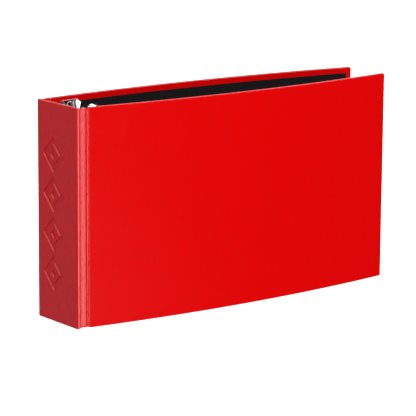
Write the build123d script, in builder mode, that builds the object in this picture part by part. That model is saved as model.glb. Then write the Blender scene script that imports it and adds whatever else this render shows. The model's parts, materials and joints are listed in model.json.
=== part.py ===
from build123d import *
import os
from math import cos, radians, sin

# Landscape ring binder for bank statements: a board case in red wrap with a two-post arch mechanism.
# All sizes are in millimetres. +Z is up and the origin is on the underside of the spine at its centre.
# +X runs from the spine to the fore edges, -Y is the front cover's side and +Y the back cover's.
# The binder stands on its long edges with both covers a little splayed and bowed outwards.

# Case
HEIGHT = 140.0
SPINE_WIDTH = 45.0
BOARD = 2.0
WRAP = 0.3
LINING = 0.2
SHELL = BOARD + WRAP + LINING
TURN_IN = 4.0
COVER_LENGTH = 242.0
COVER_RADIUS = 895.0
FRONT_SPLAY = 7.9
BACK_SPLAY = 5.5

# Joint strips between the spine and the covers
STRIP = WRAP + LINING
STRIP_RECESS = 1.5
STRIP_SHORTER = 0.4
CREASE_GAP = 0.3
CREASE_TO_CREASE = 4.8
SPINE_TO_CREASE = 0.55
CREASE_TO_BOARD = 0.8

# Pressed marks on the spine
MARK_SIDE = 16.2
MARK_STROKE = 3.1
MARK_HEART = 4.2
MARK_DEPTH = 0.45
MARK_PITCH = 25.3
MARK_OFFSET = 4.2
MARK_CENTRE = 69.0
MARK_COUNT = 4

# Mechanism: p runs from the plate's centre line towards the fore edge, v stands off the back cover
PLATE_FROM_SPINE = 23.6
PLATE_SEAT = 0.15
PLATE_WIDTH = 28.0
PLATE_LENGTH = 135.2
PLATE_RISE = 4.0
PLATE_SHEET = 1.0
PLATE_CHAMFER = 7.0
PLATE_TAPER = 24.0
PAD_LENGTH = 8.2
PAD_HALF_OUTER = 6.4
PAD_HALF_INNER = 3.4
RIVET_FROM_END = 4.0

# Posts and arches
RING_PITCH = 80.0
POST_P = 8.5
POST_RADIUS = 2.0
POST_TOP = 24.4
POST_FOOT_RADIUS = 3.2
POST_FOOT = 0.8
POST_STEM_RADIUS = 1.5
POST_HEAD_RADIUS = 2.5
POST_HEAD = 0.9
TIP_FLAT = 0.05
CUP_RADIUS = 1.5
CUP_DEPTH = 0.8
SHAFT_P = -7.5
SHAFT_V = 7.4
SHAFT_RADIUS = 1.9
ARCH_RADIUS = 1.75
ARCH_SPRING_V = 25.0
ARCH_GAP = 0.12
SHAFT_BELOW = 7.0
CRANK_Z = 119.0
CRANK_REACH = 8.5
CRANK_BEND = 3.0
BEARING_HEIGHTS = (26.0, 66.0, 102.0)
BEARING_SHEET = 1.4
BEARING_RADIUS = 3.4

# Release lever, its pins and roller; the profiles are (z, v) from the pivot
PIVOT_Z = 128.0
PIVOT_V = 10.2
LEVER_PIN_RADIUS = 1.2
EAR_SHEET = 1.0
EAR_LEFT = -5.2
EAR_RIGHT = 11.2
EAR_RADIUS = 2.6
EAR_FOOT = 0.5
LEVER_LEFT = -3.8
LEVER_RIGHT = 10.8
LEVER_SHEET = 1.0
LEVER_BEND = 1.2
LEVER_WEB = ((-12.0, 5.0), (-1.0, 4.3), (3.0, 4.0))
LEVER_TAB = ((-1.0, 4.3), (2.0, 4.2), (3.6, 8.0), (7.6, 5.2))
LEVER_CHEEK = (
    (-12.0, 5.0), (-12.0, 0.2), (-10.5, -0.35), (-6.8, -0.35), (-2.0, -2.3), (1.6, -2.3), (2.7, -0.8), (2.7, 4.0),
)
CHEEK_CORNER = 0.3
TAB_LEFT = 2.6
TAB_RIGHT = 10.4
ROLLER_Z = -9.0
ROLLER_V = 1.65
ROLLER_RADIUS = 2.4
ROLLER_LENGTH = 3.6
ROLLER_PIN_RADIUS = 0.9
ROLLER_SIDE_PLAY = 0.2
PIN_CLEARANCE = 0.05
OVERSHOOT = 1.0
HEAD = 0.6
LEVER_PIN_HEAD = 2.0
ROLLER_PIN_HEAD = 1.5

# Tubular rivets through the plate and the back cover
RIVET_RADIUS = 2.1
RIVET_BORE = 1.3
RIVET_FLARE = 2.8
RIVET_FLARE_HIGH = 0.7
RIVET_CAP = 4.2
RIVET_CAP_HIGH = 0.9
CAP_SEAT = 0.03

# Return spring
SPRING_WIRE = 0.35
SPRING_RADIUS = 2.65
SPRING_LOW = 68.5
SPRING_PITCH = 0.66
SPRING_TURNS = 14
SPRING_LEG = 8.0

# Derived places
SPINE_INSIDE = SHELL / 2
SPINE_EDGE = SPINE_WIDTH / 2
CREASE_Y = SPINE_EDGE - STRIP_RECESS - STRIP / 2
SPINE_CREASE_X = SPINE_INSIDE + SPINE_TO_CREASE
COVER_CREASE_X = SPINE_CREASE_X + CREASE_TO_CREASE
COVER_FACE = STRIP_RECESS + STRIP / 2
COVER_ANGLE = COVER_LENGTH / COVER_RADIUS
LINING_FACE = SHELL - LINING
RING_HEIGHTS = (HEIGHT / 2 - RING_PITCH / 2, HEIGHT / 2 + RING_PITCH / 2)
PLATE_LOW = (HEIGHT - PLATE_LENGTH) / 2
PLATE_HIGH = HEIGHT - PLATE_LOW
PLATE_UNDER = PLATE_RISE - PLATE_SHEET
RIVET_HEIGHTS = (PLATE_LOW + RIVET_FROM_END, PLATE_HIGH - RIVET_FROM_END)
ARCH_TIP = POST_TOP + ARCH_GAP


def save(part, name):
    """Writes a finished piece under its node's name."""
    part.label = name
    export_step(part, f"parts/{name}.step")


# Covers


def cover_plane(side, splay):
    """Plan plane of a cover: origin on its crease, local X along it. Side is -1 in front and +1 behind."""
    angle = radians(splay)
    return Plane(
        origin=(COVER_CREASE_X, side * CREASE_Y, 0),
        x_dir=(cos(angle), side * sin(angle), 0),
        z_dir=(0, 0, 1),
    )


def cover_point(side, depth, turn):
    """Local point of a cover at a depth below its outer face and at an angle along its bow."""
    radius = COVER_RADIUS - depth
    along = CREASE_TO_BOARD + radius * sin(turn)
    outward = COVER_FACE - COVER_RADIUS + radius * cos(turn)
    return (along, side * outward)


def cover_layer(plane, side, depths, trims, heights, mode=Mode.ADD):
    """Extrudes a bowed layer of a cover between two depths and two heights, trimmed at its two ends."""
    first = trims[0] / COVER_RADIUS
    last = COVER_ANGLE - trims[1] / COVER_RADIUS
    middle = (first + last) / 2
    shallow, deep = depths
    with BuildSketch(plane.offset(heights[0])) as section:
        with BuildLine():
            outer = ThreePointArc(*(cover_point(side, shallow, turn) for turn in (first, middle, last)))
            inner = ThreePointArc(*(cover_point(side, deep, turn) for turn in (last, middle, first)))
            Line(outer @ 1, inner @ 0)
            Line(inner @ 1, outer @ 0)
        make_face()
    extrude(section.sketch, amount=heights[1] - heights[0], mode=mode)


def cover_core(plane, side, mode=Mode.ADD):
    """Extrudes the space that a cover's board fills inside its wrap."""
    cover_layer(plane, side, (WRAP, LINING_FACE), (WRAP, WRAP), (WRAP, HEIGHT - WRAP), mode)


def cover_window(plane, side, depth, mode=Mode.ADD):
    """Extrudes the field of a cover's lining, inside the turned-in edges, to a depth."""
    cover_layer(plane, side, (LINING_FACE, depth), (WRAP, TURN_IN), (TURN_IN, HEIGHT - TURN_IN), mode)


def make_cover(name, side, splay):
    """Makes a cover's board, wrap and lining. The back cover, side +1, is bored for the rivets."""
    plane = cover_plane(side, splay)
    with BuildPart() as board:
        cover_core(plane, side)
        if side > 0:
            rivet_bores()
    save(board.part, f"{name}_board")
    with BuildPart() as lining:
        cover_window(plane, side, SHELL)
        if side > 0:
            rivet_bores()
    save(lining.part, f"{name}_lining")
    with BuildPart() as wrap:
        cover_layer(plane, side, (0, SHELL), (0, 0), (0, HEIGHT))
        cover_core(plane, side, Mode.SUBTRACT)
        cover_window(plane, side, SHELL + WRAP, Mode.SUBTRACT)
        if side > 0:
            rivet_bores()
    save(wrap.part, f"{name}_wrap")


def make_strip(name, side):
    """Makes the joint strip beside the spine: wrap outside, lining inside."""
    length = CREASE_TO_CREASE - 2 * CREASE_GAP
    middle_x = (SPINE_CREASE_X + COVER_CREASE_X) / 2
    height = HEIGHT - 2 * STRIP_SHORTER
    with BuildPart() as strip:
        with Locations((middle_x, side * (CREASE_Y + LINING / 2), HEIGHT / 2)):
            Box(length, WRAP, height)
    save(strip.part, f"{name}_hinge_strip")
    with BuildPart() as lining:
        with Locations((middle_x, side * (CREASE_Y - WRAP / 2), HEIGHT / 2)):
            Box(length, LINING, height)
    save(lining.part, f"{name}_hinge_lining")


# Spine


def press_marks(depth, grow):
    """Presses the column of lozenge marks into the spine, their floor and walls at a given depth and growth."""
    plane = Plane(origin=(depth - SPINE_INSIDE, 0, 0), x_dir=(0, -1, 0), z_dir=(-1, 0, 0))
    heights = [MARK_CENTRE + (i - (MARK_COUNT - 1) / 2) * MARK_PITCH for i in range(MARK_COUNT)]
    with BuildSketch(plane) as marks:
        with Locations(*((-MARK_OFFSET, height) for height in heights)):
            Rectangle(MARK_SIDE + 2 * grow, MARK_SIDE + 2 * grow, rotation=45)
        with Locations(*((-MARK_OFFSET, height) for height in heights)):
            hollow = MARK_SIDE - 2 * MARK_STROKE - 2 * grow
            Rectangle(hollow, hollow, rotation=45, mode=Mode.SUBTRACT)
        with Locations(*((-MARK_OFFSET, height) for height in heights)):
            Rectangle(MARK_HEART + 2 * grow, MARK_HEART + 2 * grow, rotation=45)
    extrude(marks.sketch, amount=-MARK_DEPTH, mode=Mode.SUBTRACT)


def make_spine():
    """Makes the spine's board, wrap and lining, with the pressed marks in its outer face."""
    with BuildPart() as board:
        with Locations(((WRAP - LINING) / 2, 0, HEIGHT / 2)):
            Box(BOARD, SPINE_WIDTH - 2 * WRAP, HEIGHT - 2 * WRAP)
        press_marks(WRAP, WRAP)
    save(board.part, "spine_board")
    with BuildPart() as lining:
        with Locations((SPINE_INSIDE - LINING / 2, 0, HEIGHT / 2)):
            Box(LINING, SPINE_WIDTH - 2 * WRAP, HEIGHT - 2 * TURN_IN)
    save(lining.part, "spine_lining")
    with BuildPart() as wrap:
        with Locations((0, 0, HEIGHT / 2)):
            Box(SHELL, SPINE_WIDTH, HEIGHT)
        press_marks(0, 0)
        add(board.part, mode=Mode.SUBTRACT)
        add(lining.part, mode=Mode.SUBTRACT)
    save(wrap.part, "spine_wrap")


# Mechanism


def mechanism_frame():
    """Plane on the back cover's inner face at the plate's centre line: X is p, Y is +Z, the normal is v."""
    cover = cover_plane(1, BACK_SPLAY)
    turn = (PLATE_FROM_SPINE - SPINE_INSIDE - COVER_CREASE_X - CREASE_TO_BOARD) / COVER_RADIUS
    heading = radians(BACK_SPLAY) - turn
    along, outward = cover_point(1, SHELL + PLATE_SEAT, turn)
    return Plane(
        origin=cover.from_local_coords(Vector(along, outward, 0)),
        x_dir=(cos(heading), sin(heading), 0),
        z_dir=(sin(heading), -cos(heading), 0),
    )


FACING = mechanism_frame()
ACROSS = Plane(origin=FACING.origin, x_dir=FACING.x_dir, z_dir=(0, 0, -1))
EDGE_ON = Plane(origin=FACING.origin, x_dir=(0, 0, 1), z_dir=FACING.x_dir)
LEVER_PLANE = Plane(origin=FACING.from_local_coords(Vector(0, PIVOT_Z, PIVOT_V)), x_dir=(0, 0, 1), z_dir=FACING.x_dir)


def rod(plane, point, radius, start, end, mode=Mode.ADD):
    """Extrudes a round rod along a plane's normal, from one offset to another."""
    with BuildSketch(plane.offset(start)) as section:
        with Locations(point):
            Circle(radius)
    extrude(section.sketch, amount=end - start, mode=mode)


def rivet_bores():
    """Bores the two rivet holes through the layers of the back cover."""
    for height in RIVET_HEIGHTS:
        rod(FACING, (0, height), RIVET_RADIUS + PIN_CLEARANCE, -2 * SHELL, SHELL, Mode.SUBTRACT)


def plate_shape(inset, rise, mode=Mode.ADD):
    """Extrudes the tapered shape of the base plate, with its four corners cut."""
    with BuildSketch(FACING) as outline:
        with Locations((0, HEIGHT / 2)):
            Rectangle(PLATE_WIDTH - 2 * inset, PLATE_LENGTH - 2 * inset)
        chamfer(outline.vertices(), PLATE_CHAMFER)
    extrude(outline.sketch, amount=rise, taper=PLATE_TAPER, mode=mode)


def rivet_pads(grow, level, rise, taper, mode=Mode.ADD):
    """Extrudes the two pads that carry the rivets, open to the ends of the plate."""
    with BuildSketch(FACING.offset(level)) as outline:
        for end, inward in ((PLATE_HIGH, -1), (PLATE_LOW, 1)):
            outer = PAD_HALF_OUTER + grow
            inner = PAD_HALF_INNER + grow
            deep = end + inward * (PAD_LENGTH + grow)
            past = end - inward * PLATE_RISE
            with BuildLine():
                Polyline((-outer, past), (-inner, deep), (inner, deep), (outer, past), close=True)
            make_face()
    extrude(outline.sketch, amount=rise, taper=taper, mode=mode)


def ear(plane, centre, radius, foot, sheet):
    """Extrudes an ear bent up from the plate, round at its top, wider by a foot at the plate."""
    x, v = centre
    root = PLATE_RISE - PLATE_SHEET / 2
    with BuildSketch(plane) as outline:
        with BuildLine():
            left = Line((x - radius - foot, root), (x - radius, v))
            top = ThreePointArc(left @ 1, (x, v + radius), (x + radius, v))
            right = Line(top @ 1, (x + radius + foot, root))
            Line(right @ 1, left @ 0)
        make_face()
    extrude(outline.sketch, amount=sheet)


def make_plate():
    """Makes the base plate: a shallow pressed tray with rivet pads, shaft bearings and the lever's ears."""
    with BuildPart() as plate:
        plate_shape(0, PLATE_RISE)
        plate_shape(PLATE_SHEET, PLATE_UNDER, Mode.SUBTRACT)
        rivet_pads(PLATE_SHEET, 0, PLATE_RISE, 0)
        plate_shape(0, PLATE_RISE, Mode.INTERSECT)
        rivet_pads(0, PLATE_SHEET, PLATE_RISE, -PLATE_TAPER, Mode.SUBTRACT)
        for height in BEARING_HEIGHTS:
            top = -height - BEARING_SHEET / 2
            ear(ACROSS.offset(top), (SHAFT_P, SHAFT_V), BEARING_RADIUS, 0, BEARING_SHEET)
            hole = SHAFT_RADIUS + PIN_CLEARANCE
            end = top + BEARING_SHEET + OVERSHOOT
            rod(ACROSS, (SHAFT_P, SHAFT_V), hole, top - OVERSHOOT, end, Mode.SUBTRACT)
        for left in (EAR_LEFT, EAR_RIGHT):
            ear(EDGE_ON.offset(left), (PIVOT_Z, PIVOT_V), EAR_RADIUS, EAR_FOOT, EAR_SHEET)
            hole = LEVER_PIN_RADIUS + PIN_CLEARANCE
            end = left + EAR_SHEET + OVERSHOOT
            rod(EDGE_ON, (PIVOT_Z, PIVOT_V), hole, left - OVERSHOOT, end, Mode.SUBTRACT)
        for height in RING_HEIGHTS:
            hole = POST_STEM_RADIUS + PIN_CLEARANCE
            rod(FACING, (POST_P, height), hole, 0, PLATE_RISE + OVERSHOOT, Mode.SUBTRACT)
        for height in RIVET_HEIGHTS:
            rod(FACING, (0, height), RIVET_RADIUS + PIN_CLEARANCE, -OVERSHOOT, PLATE_RISE, Mode.SUBTRACT)
    save(plate.part, "base_plate")


def make_rivets():
    """Makes the two tubular rivets through the plate's pads and the back cover, as one group."""
    cap_seat = -SHELL - PLATE_SEAT - CAP_SEAT
    with BuildPart() as rivets:
        for height in RIVET_HEIGHTS:
            rod(FACING, (0, height), RIVET_RADIUS, cap_seat, PLATE_SHEET + RIVET_FLARE_HIGH)
            rod(FACING, (0, height), RIVET_FLARE, PLATE_SHEET, PLATE_SHEET + RIVET_FLARE_HIGH)
            rod(FACING, (0, height), RIVET_CAP, cap_seat - RIVET_CAP_HIGH, cap_seat)
            rod(FACING, (0, height), RIVET_BORE, cap_seat, PLATE_RISE, Mode.SUBTRACT)
    save(rivets.part, "plate_rivets")


def tip_plane(height, v):
    """Plane facing inwards on a post's axis, at a stand-off."""
    return Plane(
        origin=FACING.from_local_coords(Vector(POST_P, height, v)), x_dir=FACING.x_dir, z_dir=FACING.z_dir
    )


def make_posts():
    """Makes the two fixed posts: a riveted stem, a foot flange and a shallow cup in the tip."""
    for name, height in zip(("lower_post", "upper_post"), RING_HEIGHTS):
        with BuildPart() as post:
            rod(FACING, (POST_P, height), POST_HEAD_RADIUS, PLATE_UNDER - POST_HEAD, PLATE_UNDER)
            rod(FACING, (POST_P, height), POST_STEM_RADIUS, PLATE_UNDER, PLATE_RISE)
            rod(FACING, (POST_P, height), POST_FOOT_RADIUS, PLATE_RISE, PLATE_RISE + POST_FOOT)
            rod(FACING, (POST_P, height), POST_RADIUS, PLATE_RISE, POST_TOP)
            with Locations(tip_plane(height, POST_TOP - CUP_DEPTH / 2)):
                Cone(TIP_FLAT, CUP_RADIUS, CUP_DEPTH, mode=Mode.SUBTRACT)
        save(post.part, name)


def make_arches():
    """Makes the arch frame: a shaft with a crank at its upper end and two arches welded on."""
    bow_radius = (POST_P - SHAFT_P) / 2
    with BuildPart() as frame:
        with BuildLine(FACING.offset(SHAFT_V)) as shaft:
            FilletPolyline(
                (SHAFT_P, RING_HEIGHTS[0] - SHAFT_BELOW),
                (SHAFT_P, CRANK_Z),
                (SHAFT_P + CRANK_REACH, CRANK_Z),
                radius=CRANK_BEND,
            )
        with BuildSketch(Plane(origin=shaft.line @ 0, z_dir=shaft.line % 0)):
            Circle(SHAFT_RADIUS)
        sweep(path=shaft.line)
        for height in RING_HEIGHTS:
            with BuildLine(ACROSS.offset(-height)) as arch:
                leg = Line((SHAFT_P, SHAFT_V), (SHAFT_P, ARCH_SPRING_V))
                bow = ThreePointArc(
                    leg @ 1, (SHAFT_P + bow_radius, ARCH_SPRING_V + bow_radius), (POST_P, ARCH_SPRING_V)
                )
                Line(bow @ 1, (POST_P, ARCH_TIP))
            with BuildSketch(Plane(origin=arch.line @ 0, z_dir=arch.line % 0)):
                Circle(ARCH_RADIUS)
            sweep(path=arch.line)
            with Locations(tip_plane(height, ARCH_TIP - CUP_DEPTH / 2 + TIP_FLAT)):
                Cone(TIP_FLAT, CUP_RADIUS - TIP_FLAT, CUP_DEPTH - 2 * TIP_FLAT)
    save(frame.part, "arch_frame")


def make_lever():
    """Makes the release lever: a bent web with a thumb tab and two cheeks that carry the pins."""
    with BuildPart() as lever:
        for path, left, right in ((LEVER_WEB, LEVER_LEFT, LEVER_RIGHT), (LEVER_TAB, TAB_LEFT, TAB_RIGHT)):
            with BuildSketch(LEVER_PLANE.offset(left)):
                with BuildLine():
                    FilletPolyline(*path, radius=LEVER_BEND)
                trace(line_width=LEVER_SHEET)
            extrude(amount=right - left)
        for left in (LEVER_LEFT, LEVER_RIGHT - LEVER_SHEET):
            with BuildSketch(LEVER_PLANE.offset(left)):
                with BuildLine():
                    FilletPolyline(*LEVER_CHEEK, radius=CHEEK_CORNER, close=True)
                make_face()
            extrude(amount=LEVER_SHEET)
            start = left - OVERSHOOT
            end = left + LEVER_SHEET + OVERSHOOT
            rod(LEVER_PLANE, (0, 0), LEVER_PIN_RADIUS + PIN_CLEARANCE, start, end, Mode.SUBTRACT)
            hole = ROLLER_PIN_RADIUS + PIN_CLEARANCE
            rod(LEVER_PLANE, (ROLLER_Z, ROLLER_V), hole, start, end, Mode.SUBTRACT)
    save(lever.part, "release_lever")


def headed_pin(point, radius, head_radius, left, right):
    """Extrudes a pin with a flat head at each end, across the lever, between two outer faces."""
    rod(LEVER_PLANE, point, radius, left, right)
    rod(LEVER_PLANE, point, head_radius, left - HEAD, left)
    rod(LEVER_PLANE, point, head_radius, right, right + HEAD)


def make_pins():
    """Makes the lever's pivot pin, the roller's pin and the roller."""
    with BuildPart() as lever_pin:
        headed_pin((0, 0), LEVER_PIN_RADIUS, LEVER_PIN_HEAD, EAR_LEFT, EAR_RIGHT + EAR_SHEET)
    save(lever_pin.part, "lever_pin")
    with BuildPart() as roller_pin:
        headed_pin((ROLLER_Z, ROLLER_V), ROLLER_PIN_RADIUS, ROLLER_PIN_HEAD, LEVER_LEFT, LEVER_RIGHT)
    save(roller_pin.part, "roller_pin")
    left = LEVER_LEFT + LEVER_SHEET + ROLLER_SIDE_PLAY
    bore = ROLLER_PIN_RADIUS + PIN_CLEARANCE
    with BuildPart() as roller:
        rod(LEVER_PLANE, (ROLLER_Z, ROLLER_V), ROLLER_RADIUS, left, left + ROLLER_LENGTH)
        rod(LEVER_PLANE, (ROLLER_Z, ROLLER_V), bore, left, left + ROLLER_LENGTH, Mode.SUBTRACT)
    save(roller.part, "cam_roller")


def make_spring():
    """Makes the return spring: close turns round the shaft, a leg on the plate and a leg up beside an arch."""
    heights = [SPRING_LOW + SPRING_PITCH * turn for turn in range(SPRING_TURNS)]
    with BuildPart() as spring:
        with BuildSketch(FACING.offset(SHAFT_V)):
            with Locations(*((SHAFT_P + SPRING_RADIUS, height) for height in heights)):
                Circle(SPRING_WIRE)
        revolve(axis=Axis(FACING.from_local_coords(Vector(SHAFT_P, 0, SHAFT_V)), (0, 0, 1)))
        rod(FACING, (SHAFT_P + SPRING_RADIUS, heights[0]), SPRING_WIRE, PLATE_RISE, SHAFT_V)
        rod(FACING, (SHAFT_P + SPRING_RADIUS, heights[-1]), SPRING_WIRE, SHAFT_V, SHAFT_V + SPRING_LEG)
    save(spring.part, "return_spring")


os.makedirs("parts", exist_ok=True)
make_spine()
for cover_name, cover_side, cover_splay in (("front", -1, FRONT_SPLAY), ("back", 1, BACK_SPLAY)):
    make_strip(cover_name, cover_side)
    make_cover(cover_name, cover_side, cover_splay)
make_plate()
make_rivets()
make_posts()
make_arches()
make_lever()
make_pins()
make_spring()
print("mechanism origin", FACING.origin, "along p", FACING.x_dir, "along v", FACING.z_dir)
print("creases at x", SPINE_CREASE_X, "and", COVER_CREASE_X, "and y", CREASE_Y)
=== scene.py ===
"""Landscape ring binder for bank statements: its looks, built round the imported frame.

The case is three film-covered boards joined by creased strips, with black linings inside. The mechanism on
the back cover is plated pressed steel and bent wire. All lengths are in metres: +Z is up, +X runs from the
spine to the fore edges, -Y is the front cover's side.
"""

import json
import logging
import math
from collections.abc import Callable, Sequence
from dataclasses import dataclass
from enum import Enum

import bmesh
import bpy
from mathutils import Matrix, Vector
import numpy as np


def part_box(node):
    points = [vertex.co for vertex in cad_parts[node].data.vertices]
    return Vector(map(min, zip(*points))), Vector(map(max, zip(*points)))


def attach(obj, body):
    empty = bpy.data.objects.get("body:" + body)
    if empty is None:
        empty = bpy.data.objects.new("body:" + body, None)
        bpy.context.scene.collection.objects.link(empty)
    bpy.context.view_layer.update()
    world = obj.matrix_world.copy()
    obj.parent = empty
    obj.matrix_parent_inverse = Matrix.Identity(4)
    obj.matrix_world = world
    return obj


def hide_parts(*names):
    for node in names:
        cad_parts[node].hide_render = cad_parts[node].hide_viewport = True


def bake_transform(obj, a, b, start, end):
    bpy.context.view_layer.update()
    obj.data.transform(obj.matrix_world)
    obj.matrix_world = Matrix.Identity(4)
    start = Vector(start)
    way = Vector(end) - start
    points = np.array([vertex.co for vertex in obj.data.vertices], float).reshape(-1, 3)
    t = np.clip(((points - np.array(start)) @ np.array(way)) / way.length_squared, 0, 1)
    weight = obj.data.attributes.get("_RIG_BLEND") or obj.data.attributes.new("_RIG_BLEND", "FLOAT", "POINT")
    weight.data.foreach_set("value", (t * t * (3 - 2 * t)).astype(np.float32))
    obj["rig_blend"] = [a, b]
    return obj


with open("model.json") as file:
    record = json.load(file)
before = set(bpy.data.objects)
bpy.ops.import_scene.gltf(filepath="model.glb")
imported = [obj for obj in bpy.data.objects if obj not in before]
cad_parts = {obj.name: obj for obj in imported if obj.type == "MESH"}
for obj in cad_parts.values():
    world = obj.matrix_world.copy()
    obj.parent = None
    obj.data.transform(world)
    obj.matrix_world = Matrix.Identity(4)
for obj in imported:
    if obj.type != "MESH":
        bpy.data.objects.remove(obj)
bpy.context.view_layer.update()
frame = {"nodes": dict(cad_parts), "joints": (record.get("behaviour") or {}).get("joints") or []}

MM = 0.001
LOG = logging.getLogger("binder")
Socket = bpy.types.NodeSocket
Point = tuple[float, float]


class Side(Enum):
    """Which cover a piece belongs to, as the sign of its outward Y."""

    FRONT = -1
    BACK = 1

    @property
    def word(self) -> str:
        """The side's name in lower case, as node and body names use it."""
        return self.name.lower()


class Slot(Enum):
    """The record's material slots."""

    FILM = "red_film"
    LINING = "black_paper"
    BOARD = "greyboard"
    CHROME = "chromed_steel"
    STEEL = "plated_steel"


# Node trees


class Wiring:
    """Adds nodes to a tree and links them, so that a tree reads as a chain of values."""

    def __init__(self, tree: bpy.types.NodeTree) -> None:
        """Keeps the tree that it fills.

        Args:
            tree: the node tree to fill.
        """
        self.tree = tree

    def feed(self, socket: Socket, value: object) -> None:
        """Links a socket to another socket, or sets it to a plain value.

        Args:
            socket: the input to feed.
            value: an output socket or a default value.
        """
        if isinstance(value, bpy.types.NodeSocket):
            self.tree.links.new(value, socket)
        else:
            socket.default_value = value

    def node(self, kind: str, inputs: dict | None = None, **settings: object) -> bpy.types.Node:
        """Adds a node.

        Args:
            kind: the node's type name.
            inputs: values or sockets by input name or index.
            settings: the node's own properties.

        Returns:
            The new node.
        """
        made = self.tree.nodes.new(kind)
        for name, value in settings.items():
            setattr(made, name, value)
        for key, value in (inputs or {}).items():
            self.feed(made.inputs[key], value)
        return made

    def math(self, operation: str, *values: object, clamp: bool = False) -> Socket:
        """Adds a Math node.

        Args:
            operation: the node's operation.
            values: its operands, sockets or numbers.
            clamp: whether the result is kept between 0 and 1.

        Returns:
            The result's socket.
        """
        made = self.node("ShaderNodeMath", operation=operation, use_clamp=clamp)
        for socket, value in zip(made.inputs, values):
            self.feed(socket, value)
        return made.outputs[0]

    def noise(self, vector: Socket, scale: object, detail: float = 2.0, roughness: float = 0.5) -> Socket:
        """Adds a noise texture and gives its value.

        Args:
            vector: where it is read.
            scale: features a metre.
            detail: how many octaves it has.
            roughness: how strong the fine octaves are.

        Returns:
            The noise's value, about 0 to 1.
        """
        inputs = {"Vector": vector, "Scale": scale, "Detail": detail, "Roughness": roughness}
        return self.node("ShaderNodeTexNoise", inputs).outputs[0]

    def spread(self, value: Socket, low: float, high: float, to_low: float = 0.0, to_high: float = 1.0) -> Socket:
        """Maps a value's range onto another range, clamped.

        Args:
            value: the value to map.
            low: where the range starts.
            high: where the range ends.
            to_low: the result at the start.
            to_high: the result at the end.

        Returns:
            The mapped value.
        """
        inputs = {"Value": value, "From Min": low, "From Max": high, "To Min": to_low, "To Max": to_high}
        return self.node("ShaderNodeMapRange", inputs).outputs[0]

    def blend(self, factor: object, first: object, second: object) -> Socket:
        """Mixes two colours.

        Args:
            factor: how much of the second there is.
            first: the first colour.
            second: the second colour.

        Returns:
            The mixed colour.
        """
        made = self.node("ShaderNodeMix", {0: factor, 6: first, 7: second}, data_type="RGBA")
        return made.outputs[2]

    def sweep(self, curve: Socket, radius: object, sides: object) -> Socket:
        """Sweeps a round, capped and smooth-shaded section along a curve.

        Args:
            curve: the path.
            radius: the section's radius.
            sides: how many sides the section has.

        Returns:
            The swept geometry.
        """
        section = self.node("GeometryNodeCurvePrimitiveCircle", {"Radius": radius, "Resolution": sides}).outputs[0]
        inputs = {"Curve": curve, "Profile Curve": section, "Fill Caps": True}
        swept = self.node("GeometryNodeCurveToMesh", inputs).outputs[0]
        return self.node("GeometryNodeSetShadeSmooth", {"Geometry": swept}).outputs[0]


def new_group(
    name: str,
    kind: str,
    inputs: Sequence[tuple[str, str, object]],
    outputs: Sequence[tuple[str, str]],
    fill: Callable[[Wiring, dict[str, Socket]], dict[str, Socket]],
) -> bpy.types.NodeTree:
    """Builds a node group once and gives it again when it is asked for by the same name.

    Args:
        name: the group's name.
        kind: ShaderNodeTree or GeometryNodeTree.
        inputs: name, socket type and default of each input.
        outputs: name and socket type of each output.
        fill: wires the inside and returns the sockets that feed the outputs.

    Returns:
        The node group.
    """
    known = bpy.data.node_groups.get(name)
    if known:
        return known
    tree = bpy.data.node_groups.new(name, kind)
    for title, socket_type, default in inputs:
        socket = tree.interface.new_socket(title, in_out="INPUT", socket_type=socket_type)
        if default is not None:
            socket.default_value = default
    for title, socket_type in outputs:
        tree.interface.new_socket(title, in_out="OUTPUT", socket_type=socket_type)
    wiring = Wiring(tree)
    entry = wiring.node("NodeGroupInput")
    results = fill(wiring, {socket.name: socket for socket in entry.outputs})
    leaving = wiring.node("NodeGroupOutput")
    for title, socket in results.items():
        wiring.feed(leaving.inputs[title], socket)
    return tree


def mask_group(
    name: str,
    sizes: dict[str, float],
    outputs: Sequence[str],
    fill: Callable[[Wiring, dict[str, Socket]], dict[str, Socket]],
) -> bpy.types.NodeTree:
    """Builds a shader group that reads a place and some numbers and gives numbers.

    Args:
        name: the group's name.
        sizes: its number inputs and their defaults, which follow the Vector input.
        outputs: its outputs' names.
        fill: wires the inside.

    Returns:
        The node group.
    """
    inputs = [("Vector", "NodeSocketVector", None), *((size, "NodeSocketFloat", sizes[size]) for size in sizes)]
    return new_group(name, "ShaderNodeTree", inputs, [(title, "NodeSocketFloat") for title in outputs], fill)


def film_grain() -> bpy.types.NodeTree:
    """Shader group: the film's leather-like grain, its slow waviness and its mottling."""

    def fill(w: Wiring, given: dict[str, Socket]) -> dict[str, Socket]:
        """Wires the group."""
        per_grain = w.math("DIVIDE", 1.0, given["Grain Size"])
        pebble = w.node(
            "ShaderNodeTexVoronoi",
            {"Vector": given["Vector"], "Scale": per_grain, "Smoothness": 0.6},
            feature="SMOOTH_F1",
        ).outputs["Distance"]
        fine = w.noise(given["Vector"], w.math("MULTIPLY", per_grain, 2.3), 3.0)
        wave = w.noise(given["Vector"], w.math("DIVIDE", 1.0, given["Wave Size"]), 1.0)
        drawn = w.node("ShaderNodeMapping", {"Vector": given["Vector"], "Scale": (1.0, 1.0, 0.3)}).outputs[0]
        mottle = w.noise(drawn, w.math("DIVIDE", 1.0, given["Mottle Size"]), 3.0, 0.55)
        return {
            "Grain": w.math("ADD", w.math("MULTIPLY", pebble, 0.7), w.math("MULTIPLY", fine, 0.5)),
            "Wave": wave,
            "Mottle": w.spread(mottle, 0.2, 0.8),
        }

    sizes = {"Grain Size": 0.4 * MM, "Wave Size": 40 * MM, "Mottle Size": 3 * MM}
    return mask_group("FilmGrain", sizes, ("Grain", "Wave", "Mottle"), fill)


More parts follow.
